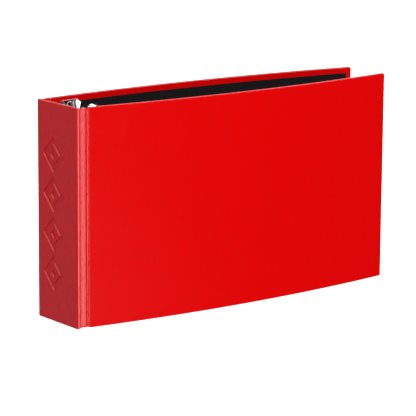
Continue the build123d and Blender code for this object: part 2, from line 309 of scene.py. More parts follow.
def edge_wear() -> bpy.types.NodeTree:
    """Shader group: a broken mask along edges, from a piece's edge attribute, for real edge wear and for the painted
    highlight on the spine's mark rims.
    """

    def fill(w: Wiring, given: dict[str, Socket]) -> dict[str, Socket]:
        """Wires the group."""
        broken = w.spread(w.noise(given["Vector"], 650.0, 4.0, 0.65), 0.38, 0.68)
        patchy = w.spread(w.noise(given["Vector"], 55.0, 2.0), 0.35, 0.7, 0.35, 1.0)
        sharp = w.math("POWER", given["Edge"], 2.2)
        mask = w.math("MULTIPLY", w.math("MULTIPLY", broken, patchy), sharp)
        return {"Mask": w.math("MULTIPLY", mask, given["Amount"], clamp=True)}

    return mask_group("EdgeWear", {"Edge": 0.0, "Amount": 1.0}, ("Mask",), fill)


def settled_dust() -> bpy.types.NodeTree:
    """Shader group: a thin mask of dust on faces that look up."""

    def fill(w: Wiring, given: dict[str, Socket]) -> dict[str, Socket]:
        """Wires the group."""
        normal = w.node("ShaderNodeNewGeometry").outputs["Normal"]
        upward = w.node("ShaderNodeSeparateXYZ", {"Vector": normal}).outputs["Z"]
        specks = w.spread(w.noise(given["Vector"], 2400.0, 3.0, 0.7), 0.55, 0.75)
        clouds = w.spread(w.noise(given["Vector"], 70.0, 3.0), 0.35, 0.75)
        cover = w.math("MULTIPLY", w.math("ADD", specks, clouds), w.spread(upward, 0.35, 1.0))
        return {"Mask": w.math("MULTIPLY", cover, given["Amount"], clamp=True)}

    return mask_group("SettledDust", {"Amount": 0.2}, ("Mask",), fill)


def metal_marks() -> bpy.types.NodeTree:
    """Shader group: fine drawn lines, handling smears and pits of plated metal."""

    def fill(w: Wiring, given: dict[str, Socket]) -> dict[str, Socket]:
        """Wires the group."""
        stretched = w.node("ShaderNodeMapping", {"Vector": given["Vector"], "Scale": (1.0, 1.0, 0.04)})
        lines = w.noise(stretched.outputs[0], w.math("DIVIDE", 1.0, given["Line Size"]), 2.0)
        smear = w.spread(w.noise(given["Vector"], 130.0, 3.0, 0.6), 0.4, 0.7)
        pits = w.spread(w.noise(given["Vector"], 1900.0, 1.0), 0.68, 0.8)
        return {"Lines": lines, "Smear": smear, "Pits": pits}

    return mask_group("MetalMarks", {"Line Size": 0.12 * MM}, ("Lines", "Smear", "Pits"), fill)


def paper_tooth() -> bpy.types.NodeTree:
    """Shader group: the felt-like tooth and loose fibres of paper and board."""

    def fill(w: Wiring, given: dict[str, Socket]) -> dict[str, Socket]:
        """Wires the group."""
        per_fibre = w.math("DIVIDE", 1.0, given["Fibre Size"])
        tooth = w.noise(given["Vector"], per_fibre, 5.0, 0.7)
        slanted = w.node("ShaderNodeMapping", {"Vector": given["Vector"], "Scale": (0.18, 0.18, 1.0)})
        slanted.inputs["Rotation"].default_value = (0.0, 0.6, 0.0)
        fibre = w.noise(slanted.outputs[0], w.math("MULTIPLY", per_fibre, 0.8), 3.0, 0.6)
        return {"Tooth": tooth, "Fibre": w.spread(fibre, 0.56, 0.7)}

    return mask_group("PaperTooth", {"Fibre Size": 0.35 * MM}, ("Tooth", "Fibre"), fill)


# Finishes


class Finish:
    """A finish: builds its material once and puts it on pieces."""

    name: str
    slot: Slot

    def material(self) -> bpy.types.Material:
        """The finish's material, built the first time it is asked for."""
        known = bpy.data.materials.get(self.name)
        if known:
            return known
        made = bpy.data.materials.new(self.name)
        made.use_nodes = True
        made.node_tree.nodes.clear()
        wiring = Wiring(made.node_tree)
        shader = wiring.node("ShaderNodeBsdfPrincipled")
        output = wiring.node("ShaderNodeOutputMaterial")
        wiring.feed(output.inputs["Surface"], shader.outputs[0])
        place = wiring.node("ShaderNodeTexCoord").outputs["Object"]
        self.wire(wiring, shader, place)
        return made

    def wire(self, w: Wiring, shader: bpy.types.Node, place: Socket) -> None:
        """Wires the finish's own nodes; each finish has its own."""
        raise NotImplementedError

    def group(self, w: Wiring, tree: bpy.types.NodeTree, **inputs: object) -> bpy.types.Node:
        """Places a shared group.

        Args:
            w: the material's wiring.
            tree: the shared group.
            inputs: its inputs, with _ for a space.

        Returns:
            The group's node.
        """
        made = w.node("ShaderNodeGroup", node_tree=tree)
        for name, value in inputs.items():
            w.feed(made.inputs[name.replace("_", " ")], value)
        return made

    def bump(self, w: Wiring, shader: bpy.types.Node, layers: Sequence[tuple[Socket, float]]) -> None:
        """Chains height maps into the shader's normal.

        Args:
            w: the material's wiring.
            shader: the Principled node.
            layers: each height from 0 to 1 with its depth in metres.
        """
        normal = None
        for height, depth in layers:
            made = w.node("ShaderNodeBump", {"Height": height, "Distance": depth, "Strength": 1.0})
            if normal:
                w.feed(made.inputs["Normal"], normal)
            normal = made.outputs[0]
        w.feed(shader.inputs["Normal"], normal)

    def dress(self, piece: bpy.types.Object) -> None:
        """Puts the finish on a piece as its only material.

        Args:
            piece: the piece to dress.
        """
        piece.data.materials.clear()
        piece.data.materials.append(self.material())


@dataclass(frozen=True)
class RedFilm(Finish):
    """Semi-gloss red wrapping film over board, paler where it is stretched or worn, and painted paler on the spine's
    mark rims as a highlight.
    """

    name: str = "cover_film"
    slot: Slot = Slot.FILM
    colour: tuple = (0.70, 0.0, 0.0, 1.0)
    mottled: tuple = (0.62, 0.0, 0.001, 1.0)
    rubbed: tuple = (0.85, 0.10, 0.09, 1.0)
    grain_size: float = 0.35 * MM
    grain_depth: float = 0.006 * MM
    wave_depth: float = 0.10 * MM
    mottle_size: float = 3.0 * MM
    mottle_strength: float = 0.5
    roughness: float = 0.22
    roughness_swing: float = 0.05
    gloss: float = 0.25
    wear: float = 0.5

    def wire(self, w: Wiring, shader: bpy.types.Node, place: Socket) -> None:
        """Wires grain, mottling, worn edges, the painted highlight on the spine's mark rims and a trace of dust."""
        grain = self.group(w, film_grain(), Vector=place, Grain_Size=self.grain_size, Mottle_Size=self.mottle_size)
        edge = w.node("ShaderNodeAttribute", attribute_name="edge").outputs["Fac"]
        wear = self.group(w, edge_wear(), Vector=place, Edge=edge, Amount=self.wear).outputs["Mask"]
        dust = self.group(w, settled_dust(), Vector=place, Amount=0.05).outputs["Mask"]
        mottle = w.math("MULTIPLY", grain.outputs["Mottle"], self.mottle_strength)
        colour = w.blend(mottle, self.colour, self.mottled)
        # The pale colour marks worn film on rims and, on the spine, a painted highlight along the pressed mark
        # shoulders.
        colour = w.blend(wear, colour, self.rubbed)
        w.feed(shader.inputs["Base Color"], w.blend(dust, colour, (0.6, 0.5, 0.48, 1.0)))
        swing = self.roughness_swing
        rough = w.spread(grain.outputs["Mottle"], 0.0, 1.0, self.roughness - swing, self.roughness + swing)
        w.feed(shader.inputs["Roughness"], w.math("ADD", rough, w.math("MULTIPLY", wear, 0.25)))
        shader.inputs["Specular IOR Level"].default_value = self.gloss
        heights = [(grain.outputs["Wave"], self.wave_depth), (grain.outputs["Grain"], self.grain_depth)]
        self.bump(w, shader, heights)


@dataclass(frozen=True)
class BlackPaper(Finish):
    """Matte black lining paper with a fine tooth and a few pale fibres."""

    name: str = "lining_paper"
    slot: Slot = Slot.LINING
    colour: tuple = (0.008, 0.0075, 0.008, 1.0)
    fibre: tuple = (0.024, 0.022, 0.023, 1.0)
    roughness: float = 0.72

    def wire(self, w: Wiring, shader: bpy.types.Node, place: Socket) -> None:
        """Wires tooth, fibres and dust."""
        tooth = self.group(w, paper_tooth(), Vector=place, Fibre_Size=0.3 * MM)
        dust = self.group(w, settled_dust(), Vector=place, Amount=0.1).outputs["Mask"]
        colour = w.blend(tooth.outputs["Fibre"], self.colour, self.fibre)
        w.feed(shader.inputs["Base Color"], w.blend(dust, colour, (0.2, 0.2, 0.2, 1.0)))
        w.feed(shader.inputs["Roughness"], w.spread(tooth.outputs["Tooth"], 0.3, 0.7, 0.62, self.roughness + 0.1))
        shader.inputs["Specular IOR Level"].default_value = 0.15
        self.bump(w, shader, [(tooth.outputs["Tooth"], 0.035 * MM)])


@dataclass(frozen=True)
class Greyboard(Finish):
    """Bare greyboard inside the wraps."""

    name: str = "bare_board"
    slot: Slot = Slot.BOARD
    colour: tuple = (0.36, 0.34, 0.31, 1.0)
    fleck: tuple = (0.22, 0.20, 0.18, 1.0)

    def wire(self, w: Wiring, shader: bpy.types.Node, place: Socket) -> None:
        """Wires recycled flecks and a soft tooth."""
        tooth = self.group(w, paper_tooth(), Vector=place, Fibre_Size=0.8 * MM)
        w.feed(shader.inputs["Base Color"], w.blend(tooth.outputs["Fibre"], self.colour, self.fleck))
        w.feed(shader.inputs["Roughness"], w.spread(tooth.outputs["Tooth"], 0.3, 0.7, 0.8, 0.95))
        self.bump(w, shader, [(tooth.outputs["Tooth"], 0.08 * MM)])


@dataclass(frozen=True)
class PlatedMetal(Finish):
    """Plated steel: bright chrome or duller nickel, by its values."""

    name: str = "bright_chrome"
    slot: Slot = Slot.CHROME
    colour: tuple = (0.80, 0.81, 0.83, 1.0)
    stained: tuple = (0.62, 0.61, 0.60, 1.0)
    roughness: float = 0.07
    smeared: float = 0.20
    line_depth: float = 0.0015 * MM

    def wire(self, w: Wiring, shader: bpy.types.Node, place: Socket) -> None:
        """Wires drawn lines, smears and pits."""
        marks = self.group(w, metal_marks(), Vector=place)
        w.feed(shader.inputs["Base Color"], w.blend(marks.outputs["Pits"], self.colour, self.stained))
        w.feed(
            shader.inputs["Roughness"], w.spread(marks.outputs["Smear"], 0.0, 1.0, self.roughness, self.smeared)
        )
        shader.inputs["Metallic"].default_value = 1.0
        self.bump(w, shader, [(marks.outputs["Lines"], self.line_depth), (marks.outputs["Pits"], -self.line_depth)])


COVER_FILM = RedFilm()
SPINE_FILM = RedFilm(
    name="spine_film",
    mottled=(0.56, 0.0, 0.002, 1.0),
    grain_depth=0.012 * MM,
    mottle_size=1.6 * MM,
    mottle_strength=0.9,
    roughness=0.36,
    roughness_swing=0.10,
    gloss=0.5,
)
HINGE_FILM = RedFilm(
    name="hinge_film", grain_depth=0.006 * MM, mottle_size=1.2 * MM, wear=0.35, roughness=0.28,
    roughness_swing=0.04, gloss=0.5,
)
LINING = BlackPaper()
BOARD = Greyboard()
CHROME = PlatedMetal()
NICKEL = PlatedMetal(
    name="dull_nickel", slot=Slot.STEEL, colour=(0.64, 0.62, 0.58, 1.0), stained=(0.42, 0.40, 0.37, 1.0),
    roughness=0.22, smeared=0.38, line_depth=0.003 * MM,
)


# Geometry trees


def geometry_group(
    name: str,
    inputs: Sequence[tuple[str, str, object]],
    shape: Callable[[Wiring, dict[str, Socket]], Socket],
) -> bpy.types.NodeTree:
    """Builds a geometry tree that ends in Realize Instances and Set Material.

    Args:
        name: the tree's name.
        inputs: its sizes, after the Geometry input; a Material input comes last.
        shape: wires the shape and returns its geometry socket.

    Returns:
        The geometry tree.
    """

    def fill(w: Wiring, given: dict[str, Socket]) -> dict[str, Socket]:
        """Wires the shape and the tree's end."""
        realized = w.node("GeometryNodeRealizeInstances", {"Geometry": shape(w, given)})
        dressed = w.node(
            "GeometryNodeSetMaterial", {"Geometry": realized.outputs[0], "Material": given["Material"]}
        )
        return {"Geometry": dressed.outputs[0]}

    entries = [("Geometry", "NodeSocketGeometry", None), *inputs, ("Material", "NodeSocketMaterial", None)]
    return new_group(name, "GeometryNodeTree", entries, [("Geometry", "NodeSocketGeometry")], fill)


def bow_tree() -> bpy.types.NodeTree:
    """Bends a flat panel to a cover's bow and swings it out on its crease.

    The panel lies flat with X along its outer face, Y through its thickness and Z up.
    """

    def shape(w: Wiring, given: dict[str, Socket]) -> Socket:
        """Wires the bow."""
        position = w.node("GeometryNodeInputPosition").outputs[0]
        parts = w.node("ShaderNodeSeparateXYZ", {0: position}).outputs
        depth = w.math("MULTIPLY", w.math("MULTIPLY", parts["Y"], given["Side"]), -1.0)
        turn = w.math("DIVIDE", parts["X"], given["Radius"])
        arm = w.math("SUBTRACT", given["Radius"], depth)
        along = w.math("MULTIPLY_ADD", arm, w.math("SINE", turn), given["Board Start"])
        rise = w.math("MULTIPLY_ADD", arm, w.math("COSINE", turn), given["Face Offset"])
        outward = w.math("SUBTRACT", rise, given["Radius"])
        cosine, sine = w.math("COSINE", given["Splay"]), w.math("SINE", given["Splay"])
        x = w.math("SUBTRACT", w.math("MULTIPLY", along, cosine), w.math("MULTIPLY", outward, sine))
        y = w.math("ADD", w.math("MULTIPLY", along, sine), w.math("MULTIPLY", outward, cosine))
        y = w.math("MULTIPLY", w.math("ADD", y, given["Crease Y"]), given["Side"])
        x = w.math("ADD", x, given["Crease X"])
        place = w.node("ShaderNodeCombineXYZ", {0: x, 1: y, 2: parts["Z"]}).outputs[0]
        return w.node("GeometryNodeSetPosition", {"Geometry": given["Geometry"], "Position": place}).outputs[0]

    names = ("Side", "Radius", "Splay", "Board Start", "Face Offset", "Crease X", "Crease Y")
    return geometry_group("BowedPanel", [(name, "NodeSocketFloat", 0.0) for name in names], shape)


def wire_tree() -> bpy.types.NodeTree:
    """Sweeps round wire along the edges of a path, with its bends rounded."""

    def shape(w: Wiring, given: dict[str, Socket]) -> Socket:
        """Wires path, bends and section."""
        path = w.node("GeometryNodeMeshToCurve", {"Mesh": given["Geometry"]}).outputs[0]
        bends = w.node(
            "GeometryNodeFilletCurve",
            {"Curve": path, "Radius": given["Bend Radius"], "Count": given["Bend Steps"], "Limit Radius": True},
            mode="POLY",
        ).outputs[0]
        return w.sweep(bends, given["Wire Radius"], given["Sides"])

    inputs = [
        ("Wire Radius", "NodeSocketFloat", 1 * MM),
        ("Bend Radius", "NodeSocketFloat", 2 * MM),
        ("Bend Steps", "NodeSocketInt", 12),
        ("Sides", "NodeSocketInt", 24),
    ]
    return geometry_group("BentWire", inputs, shape)


COIL_STEPS = 28
SPRING_SIDES = 10


def coil_tree() -> bpy.types.NodeTree:
    """Winds a close coil of round wire about a vertical axis and joins it to its two legs."""

    def shape(w: Wiring, given: dict[str, Socket]) -> Socket:
        """Wires the coil and its legs."""
        spiral = w.node(
            "GeometryNodeCurveSpiral",
            {
                "Resolution": COIL_STEPS,
                "Rotations": given["Turns"],
                "Start Radius": given["Coil Radius"],
                "End Radius": given["Coil Radius"],
                "Height": w.math("MULTIPLY", given["Turns"], given["Pitch"]),
            },
        ).outputs[0]
        moved = w.node("GeometryNodeTransform", {"Geometry": spiral, "Translation": given["Foot"]}).outputs[0]
        legs = w.node("GeometryNodeMeshToCurve", {"Mesh": given["Geometry"]}).outputs[0]
        joined = w.node("GeometryNodeJoinGeometry")
        w.feed(joined.inputs[0], moved)
        w.feed(joined.inputs[0], legs)
        return w.sweep(joined.outputs[0], given["Wire Radius"], SPRING_SIDES)

    inputs = [
        ("Coil Radius", "NodeSocketFloat", 2 * MM),
        ("Wire Radius", "NodeSocketFloat", 0.3 * MM),
        ("Pitch", "NodeSocketFloat", 0.7 * MM),
        ("Turns", "NodeSocketFloat", 10.0),
        ("Foot", "NodeSocketVector", None),
    ]
    return geometry_group("CloseCoil", inputs, shape)


def fastener_tree() -> bpy.types.NodeTree:
    """Sets one fastener at each vertex of a layout, all turned the same way."""

    def shape(w: Wiring, given: dict[str, Socket]) -> Socket:
        """Wires the instances."""
        part = w.node("GeometryNodeObjectInfo", {"Object": given["Fastener"]}).outputs["Geometry"]
        return w.node(
            "GeometryNodeInstanceOnPoints",
            {"Points": given["Geometry"], "Instance": part, "Rotation": given["Turn"]},
        ).outputs[0]

    inputs = [("Fastener", "NodeSocketObject", None), ("Turn", "NodeSocketRotation", None)]
    return geometry_group("SetFasteners", inputs, shape)


# Mesh making


def new_piece(name: str, mesh: bpy.types.Mesh) -> bpy.types.Object:
    """Puts a mesh into the scene as a piece.

    Args:
        name: the piece's name.
        mesh: its mesh.

    Returns:
        The new object.
    """
    piece = bpy.data.objects.new(name, mesh)
    bpy.context.scene.collection.objects.link(piece)
    return piece


def piece_from(name: str, bm: bmesh.types.BMesh, smooth: bool = True) -> bpy.types.Object:
    """Turns a working mesh into a piece and frees it.

    Args:
        name: the piece's name.
        bm: the working mesh.
        smooth: whether its faces are shaded smooth.

    Returns:
        The new object.
    """
    bmesh.ops.recalc_face_normals(bm, faces=bm.faces)
    for face in bm.faces:
        face.smooth = smooth
    mesh = bpy.data.meshes.new(name)
    bm.to_mesh(mesh)
    bm.free()
    return new_piece(name, mesh)


def run_tree(piece: bpy.types.Object, tree: bpy.types.NodeTree, finish: Finish, **inputs: object) -> bpy.types.Object:
    """Runs a geometry tree on a piece and keeps the result as the piece's plain mesh.

    Args:
        piece: the piece, already in the scene.
        tree: the geometry tree.
        finish: the finish for its Material input.
        inputs: its other inputs, with _ for a space.

    Returns:
        The same piece.
    """
    values = {name.replace("_", " "): value for name, value in inputs.items()} | {"Material": finish.material()}
    modifier = piece.modifiers.new(tree.name, "NODES")
    modifier.node_group = tree
    for item in tree.interface.items_tree:
        if item.item_type == "SOCKET" and item.in_out == "INPUT" and item.name in values:
            modifier[item.identifier] = values[item.name]
    depsgraph = bpy.context.evaluated_depsgraph_get()
    mesh = bpy.data.meshes.new_from_object(
        piece.evaluated_get(depsgraph), preserve_all_data_layers=True, depsgraph=depsgraph
    )
    piece.modifiers.remove(modifier)
    flat, piece.data = piece.data, mesh
    bpy.data.meshes.remove(flat)
    finish.dress(piece)
    return piece


def path_piece(name: str, runs: Sequence[Sequence[Vector]]) -> bpy.types.Object:
    """Makes a piece of bare edges, one chain for each run of points, for a tree to sweep."""
    bm = bmesh.new()
    for run in runs:
        made = [bm.verts.new(point) for point in run]
        for first, second in zip(made, made[1:]):
            bm.edges.new((first, second))
    mesh = bpy.data.meshes.new(name)
    bm.to_mesh(mesh)
    bm.free()
    return new_piece(name, mesh)


@dataclass(frozen=True)
class Slab:
    """A flat slab with rounded rims and wider rounded corners along one axis."""

    low: Vector
    high: Vector
    rim: float
    rim_steps: int = 4
    corner_axis: int = 1
    corner: float = 0.0
    corner_steps: int = 6
    corner_below: float = math.inf

    def mesh(self, cuts: dict[int, Sequence[float]]) -> bmesh.types.BMesh:
        """Makes the slab.

        Args:
            cuts: for an axis, the places where a row of edges crosses the slab.

        Returns:
            The working mesh.
        """
        bm = bmesh.new()
        bmesh.ops.create_cube(bm, size=1.0)
        bmesh.ops.scale(bm, vec=self.high - self.low, verts=bm.verts)
        bmesh.ops.translate(bm, vec=(self.high + self.low) / 2, verts=bm.verts)
        if self.corner:
            self.bevel(bm, [edge for edge in bm.edges if self.is_corner(edge)], self.corner, self.corner_steps)
        sharp = [edge for edge in bm.edges if edge.calc_face_angle() > math.radians(60)]
        self.bevel(bm, sharp, self.rim, self.rim_steps)
        for axis, places in cuts.items():
            normal = Vector(1.0 if index == axis else 0.0 for index in range(3))
            for place in places:
                everything = bm.verts[:] + bm.edges[:] + bm.faces[:]
                bmesh.ops.bisect_plane(bm, geom=everything, plane_co=normal * place, plane_no=normal)
        return bm

    def is_corner(self, edge: bmesh.types.BMEdge) -> bool:
        """Whether an edge is one of the corners that get the wider rounding."""
        first, second = (vertex.co for vertex in edge.verts)
        along = abs((second - first).normalized()[self.corner_axis]) > 0.9
        return along and (first.x + second.x) / 2 < self.corner_below

    def bevel(self, bm: bmesh.types.BMesh, edges: Sequence, radius: float, steps: int) -> None:
        """Rounds edges of the working mesh."""
        bmesh.ops.bevel(bm, geom=edges, offset=radius, segments=steps, profile=0.5, affect="EDGES")


def mark_edges(bm: bmesh.types.BMesh, axes: Sequence[int], reach: float) -> None:
    """Writes how near each vertex is to the slab's rim into the edge attribute.

    Args:
        bm: the working mesh, still flat.
        axes: the two axes along the slab's face.
        reach: how far in from the rim the attribute fades out.
    """
    layer = bm.verts.layers.float.get("edge") or bm.verts.layers.float.new("edge")
    limits = [(min(v.co[a] for v in bm.verts), max(v.co[a] for v in bm.verts), a) for a in axes]
    for vertex in bm.verts:
        inside = min(min(vertex.co[a] - low, high - vertex.co[a]) for low, high, a in limits)
        vertex[layer] = max(0.0, 1.0 - inside / reach)


def even_places(low: float, high: float, step: float, rim: float) -> list[float]:
    """Cut places across a slab: one near each rim and even ones between.

    Args:
        low: the slab's start.
        high: its end.
        step: the greatest distance between cuts.
        rim: how far in the outer cuts are.

    Returns:
        The places in order.
    """
    count = max(1, math.ceil((high - low - 2 * rim) / step))
    return [low + rim + (high - low - 2 * rim) * index / count for index in range(count + 1)]


def flat_normals(piece: bpy.types.Object) -> None:
    """Keeps a piece's large faces flat in shading beside its small rounded ones."""
    modifier = piece.modifiers.new("flat_normals", "WEIGHTED_NORMAL")
    modifier.weight = 80
    modifier.keep_sharp = True


def smooth_path(points: Sequence[Point], steps: int) -> list[Point]:
    """Runs a smooth line through plan points.

    Args:
        points: the points that it passes through.
        steps: how many short runs lie between two points.

    Returns:
        The line's points.
    """
    ends = [points[0], *points, points[-1]]
    line = []
    for a, b, c, d in zip(ends, ends[1:], ends[2:], ends[3:]):
        for index in range(steps):
            t = index / steps
            line.append(
                tuple(
                    0.5 * (2 * q + (r - p) * t + (2 * p - 5 * q + 4 * r - s) * t**2 + (3 * q - p - 3 * r + s) * t**3)
                    for p, q, r, s in zip(a, b, c, d)
                )
            )
    return [*line, points[-1]]


def lathe(profile: Sequence[Point], sides: int) -> bmesh.types.BMesh:
    """Turns a closed body about Z.

    Args:
        profile: radius and height of each point, from one pole on the axis to the other.
        sides: how many faces go round.

    Returns:
        The working mesh.
    """
    bm = bmesh.new()
    first, *rings, last = profile
    poles = [bm.verts.new((0.0, 0.0, height)) for _, height in (first, last)]
    loops = []
    for radius, height in rings:
        angles = [math.tau * index / sides for index in range(sides)]
        loops.append([bm.verts.new((radius * math.cos(a), radius * math.sin(a), height)) for a in angles])
    for index in range(sides):
        after = (index + 1) % sides
        bm.faces.new((poles[0], loops[0][index], loops[0][after]))
        bm.faces.new((poles[1], loops[-1][after], loops[-1][index]))
        for lower, upper in zip(loops, loops[1:]):
            bm.faces.new((lower[index], upper[index], upper[after], lower[after]))
    return bm


def finish_piece(
    piece: bpy.types.Object, body: str | None, slot: Slot, replaces: Sequence[str] = ()
) -> bpy.types.Object:
    """Puts a finished piece on its body and hides the CAD nodes that it stands for.

    Args:
        piece: the finished piece.
        body: the CAD body that it rides on, or None where it is blended.
        slot: its material slot, which is not used.
        replaces: the CAD nodes that it stands for.

    Returns:
        The same piece.
    """
    if body:
        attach(piece, body)
    if replaces:
        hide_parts(*replaces)
    faces = len(piece.data.polygons)
    LOG.info("%s rides on %s, %d faces", piece.name, body or "two bodies", faces)
    return piece


# Case


@dataclass(frozen=True)
class Case:
    """Sizes that the whole case shares, read from the frame where it holds them."""

    height: float
    spine_width: float
    shell: float
    creases: dict[str, Vector]
    turn_in: float = 4.0 * MM
    film: float = 0.15 * MM
    lining_depth: float = 0.3 * MM
    lining_rim: float = 0.06 * MM
    rim: float = 1.2 * MM

    @classmethod
    def from_frame(cls) -> "Case":
        """Reads height, width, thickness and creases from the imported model."""
        low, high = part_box("spine_wrap")
        size = high - low
        creases = {joint["name"]: Vector(joint["pos_m"]) for joint in frame["joints"] if "fold" in joint["name"]}
        return cls(height=size.z, spine_width=size.y, shell=size.x, creases=creases)

    def crease(self, side: Side, part: str) -> Vector:
        """The crease of one side, part being strip or cover."""
        return self.creases[f"{side.word}_{part}_fold"]


@dataclass
class Cover:
    """A bowed cover: a film-wrapped board, its three turn-ins and its black lining."""

    case: Case
    side: Side
    splay: float
    length: float = 242.0 * MM
    radius: float = 895.0 * MM
    board_start: float = 0.8 * MM
    face_offset: float = 1.75 * MM
    edge_radius: float = 0.62 * MM
    corner: float = 1.3 * MM
    row: float = 4.0 * MM
    flap_width: float = 14.0 * MM
    flap_step: float = 0.06 * MM
    flap_root: float = 0.1 * MM
    flap_rim: float = 0.025 * MM
    upright_row: float = 20.0 * MM
    lining_start: float = 1.0 * MM
    lining_step: float = 0.10 * MM
    shoulder: Point = (0.1 * MM, 0.9 * MM)
    face_inset: float = 0.02 * MM

    def slab(
        self, low: Point, high: Point, depths: Point, radius: float, cuts: dict, corner: float = 0.0
    ) -> bmesh.types.BMesh:
        """Makes a flat slab of the cover.

        Args:
            low: its start along the cover and its foot.
            high: its end along the cover and its top.
            depths: its depths below the outer face.
            radius: the radius of its edges.
            cuts: its rows of edges by axis.
            corner: the radius of its four corners.

        Returns:
            The working mesh, flat.
        """
        across = sorted(-self.side.value * depth for depth in depths)
        start, end = Vector((low[0], across[0], low[1])), Vector((high[0], across[1], high[1]))
        return Slab(start, end, radius, corner=corner).mesh(cuts)

    def bow(self, name: str, bm: bmesh.types.BMesh, finish: Finish) -> bpy.types.Object:
        """Bends a flat slab into its place on the cover.

        Args:
            name: the piece's name.
            bm: the flat working mesh.
            finish: its finish.

        Returns:
            The bowed piece.
        """
        crease = self.case.crease(self.side, "cover")
        return run_tree(
            piece_from(name, bm), bow_tree(), finish, Side=float(self.side.value), Radius=self.radius,
            Splay=self.splay, Board_Start=self.board_start, Face_Offset=self.face_offset,
            Crease_X=crease.x, Crease_Y=abs(crease.y),
        )

    def rows(self, low: float, high: float) -> list[float]:
        """Cut places along the bow between two ends."""
        return even_places(low, high, self.row, self.case.rim)

    def build_wrap(self) -> bpy.types.Object:
        """Makes the wrapped board: one slab with rounded edges."""
        height = self.case.height
        cuts = {0: self.rows(0.0, self.length), 2: even_places(0.0, height, self.upright_row, self.case.rim)}
        depth = self.case.shell - self.case.film
        far, depths = (self.length, height), (self.face_inset, depth)
        bm = self.slab((0.0, 0.0), far, depths, self.edge_radius, cuts, self.corner)
        mark_edges(bm, (0, 2), self.case.rim)
        return self.bow(f"{self.side.word}_cover_wrap", bm, COVER_FILM)

    def build_flap(self, name: str, low: Point, high: Point, layer: int) -> bpy.types.Object:
        """Makes one turned-in flap of film on the inner face.

        Args:
            name: the flap's name.
            low: its start along the cover and its foot.
            high: its end along the cover and its top.
            layer: how many films lie under it, which sets its height.

        Returns:
            The flap.
        """
        face = self.case.shell - self.case.film
        depths = (face - self.flap_root, face + self.flap_step * (layer + 1))
        bm = self.slab(low, high, depths, self.flap_rim, {0: self.rows(low[0], high[0])})
        if layer:
            middle = (low[1] + high[1]) / 2
            for vertex in bm.verts:
                vertex.co.z = middle + (vertex.co.z - middle) * (1 - (high[0] - vertex.co.x) / (middle - low[1]))
        bm.verts.layers.float.new("edge")
        return self.bow(f"{self.side.word}_{name}", bm, COVER_FILM)

    def build_flaps(self) -> list[bpy.types.Object]:
        """Makes the top, bottom and fore-edge turn-ins, the last with mitred ends over the others."""
        height, inset, wide = self.case.height, self.edge_radius, self.flap_width
        end = self.length - inset
        return [
            self.build_flap("foot_turn_in", (inset, inset), (end, wide), 0),
            self.build_flap("head_turn_in", (inset, height - wide), (end, height - inset), 0),
            self.build_flap("fore_turn_in", (self.length - wide, inset), (end, height - inset), 1),
        ]

    def build_lining(self) -> bpy.types.Object:
        """Makes the lining sheet, a little lower where no turn-in lies under it."""
        case, step = self.case, self.flap_width - self.case.turn_in
        low, high = (self.lining_start, case.turn_in), (self.length - case.turn_in, case.height - case.turn_in)
        shoulders = tuple(step + past for past in self.shoulder)
        cuts = {
            0: self.rows(low[0], high[0]) + [high[0] - place for place in shoulders],
            2: [low[1] + place for place in shoulders] + [high[1] - place for place in shoulders],
        }
        bm = self.slab(low, high, (case.shell - case.lining_depth, case.shell), case.lining_rim, cuts)
        face = -self.side.value * case.shell
        for vertex in bm.verts:
            inside = min(high[0] - vertex.co.x, vertex.co.z - low[1], high[1] - vertex.co.z)
            if inside > sum(shoulders) / 2 and abs(vertex.co.y - face) < 0.02 * MM:
                vertex.co.y += self.side.value * self.lining_step
        return self.bow(f"{self.side.word}_cover_lining", bm, LINING)

    def build(self) -> None:
        """Makes the cover's pieces and puts them on its body."""
        word = self.side.word
        pieces = [(self.build_wrap(), Slot.FILM, [f"{word}_wrap"])]
        pieces += [(flap, Slot.FILM, []) for flap in self.build_flaps()]
        pieces.append((self.build_lining(), Slot.LINING, [f"{word}_lining"]))
        for piece, slot, replaces in pieces:
            flat_normals(piece)
            finish_piece(piece, f"{word}_cover", slot, replaces)


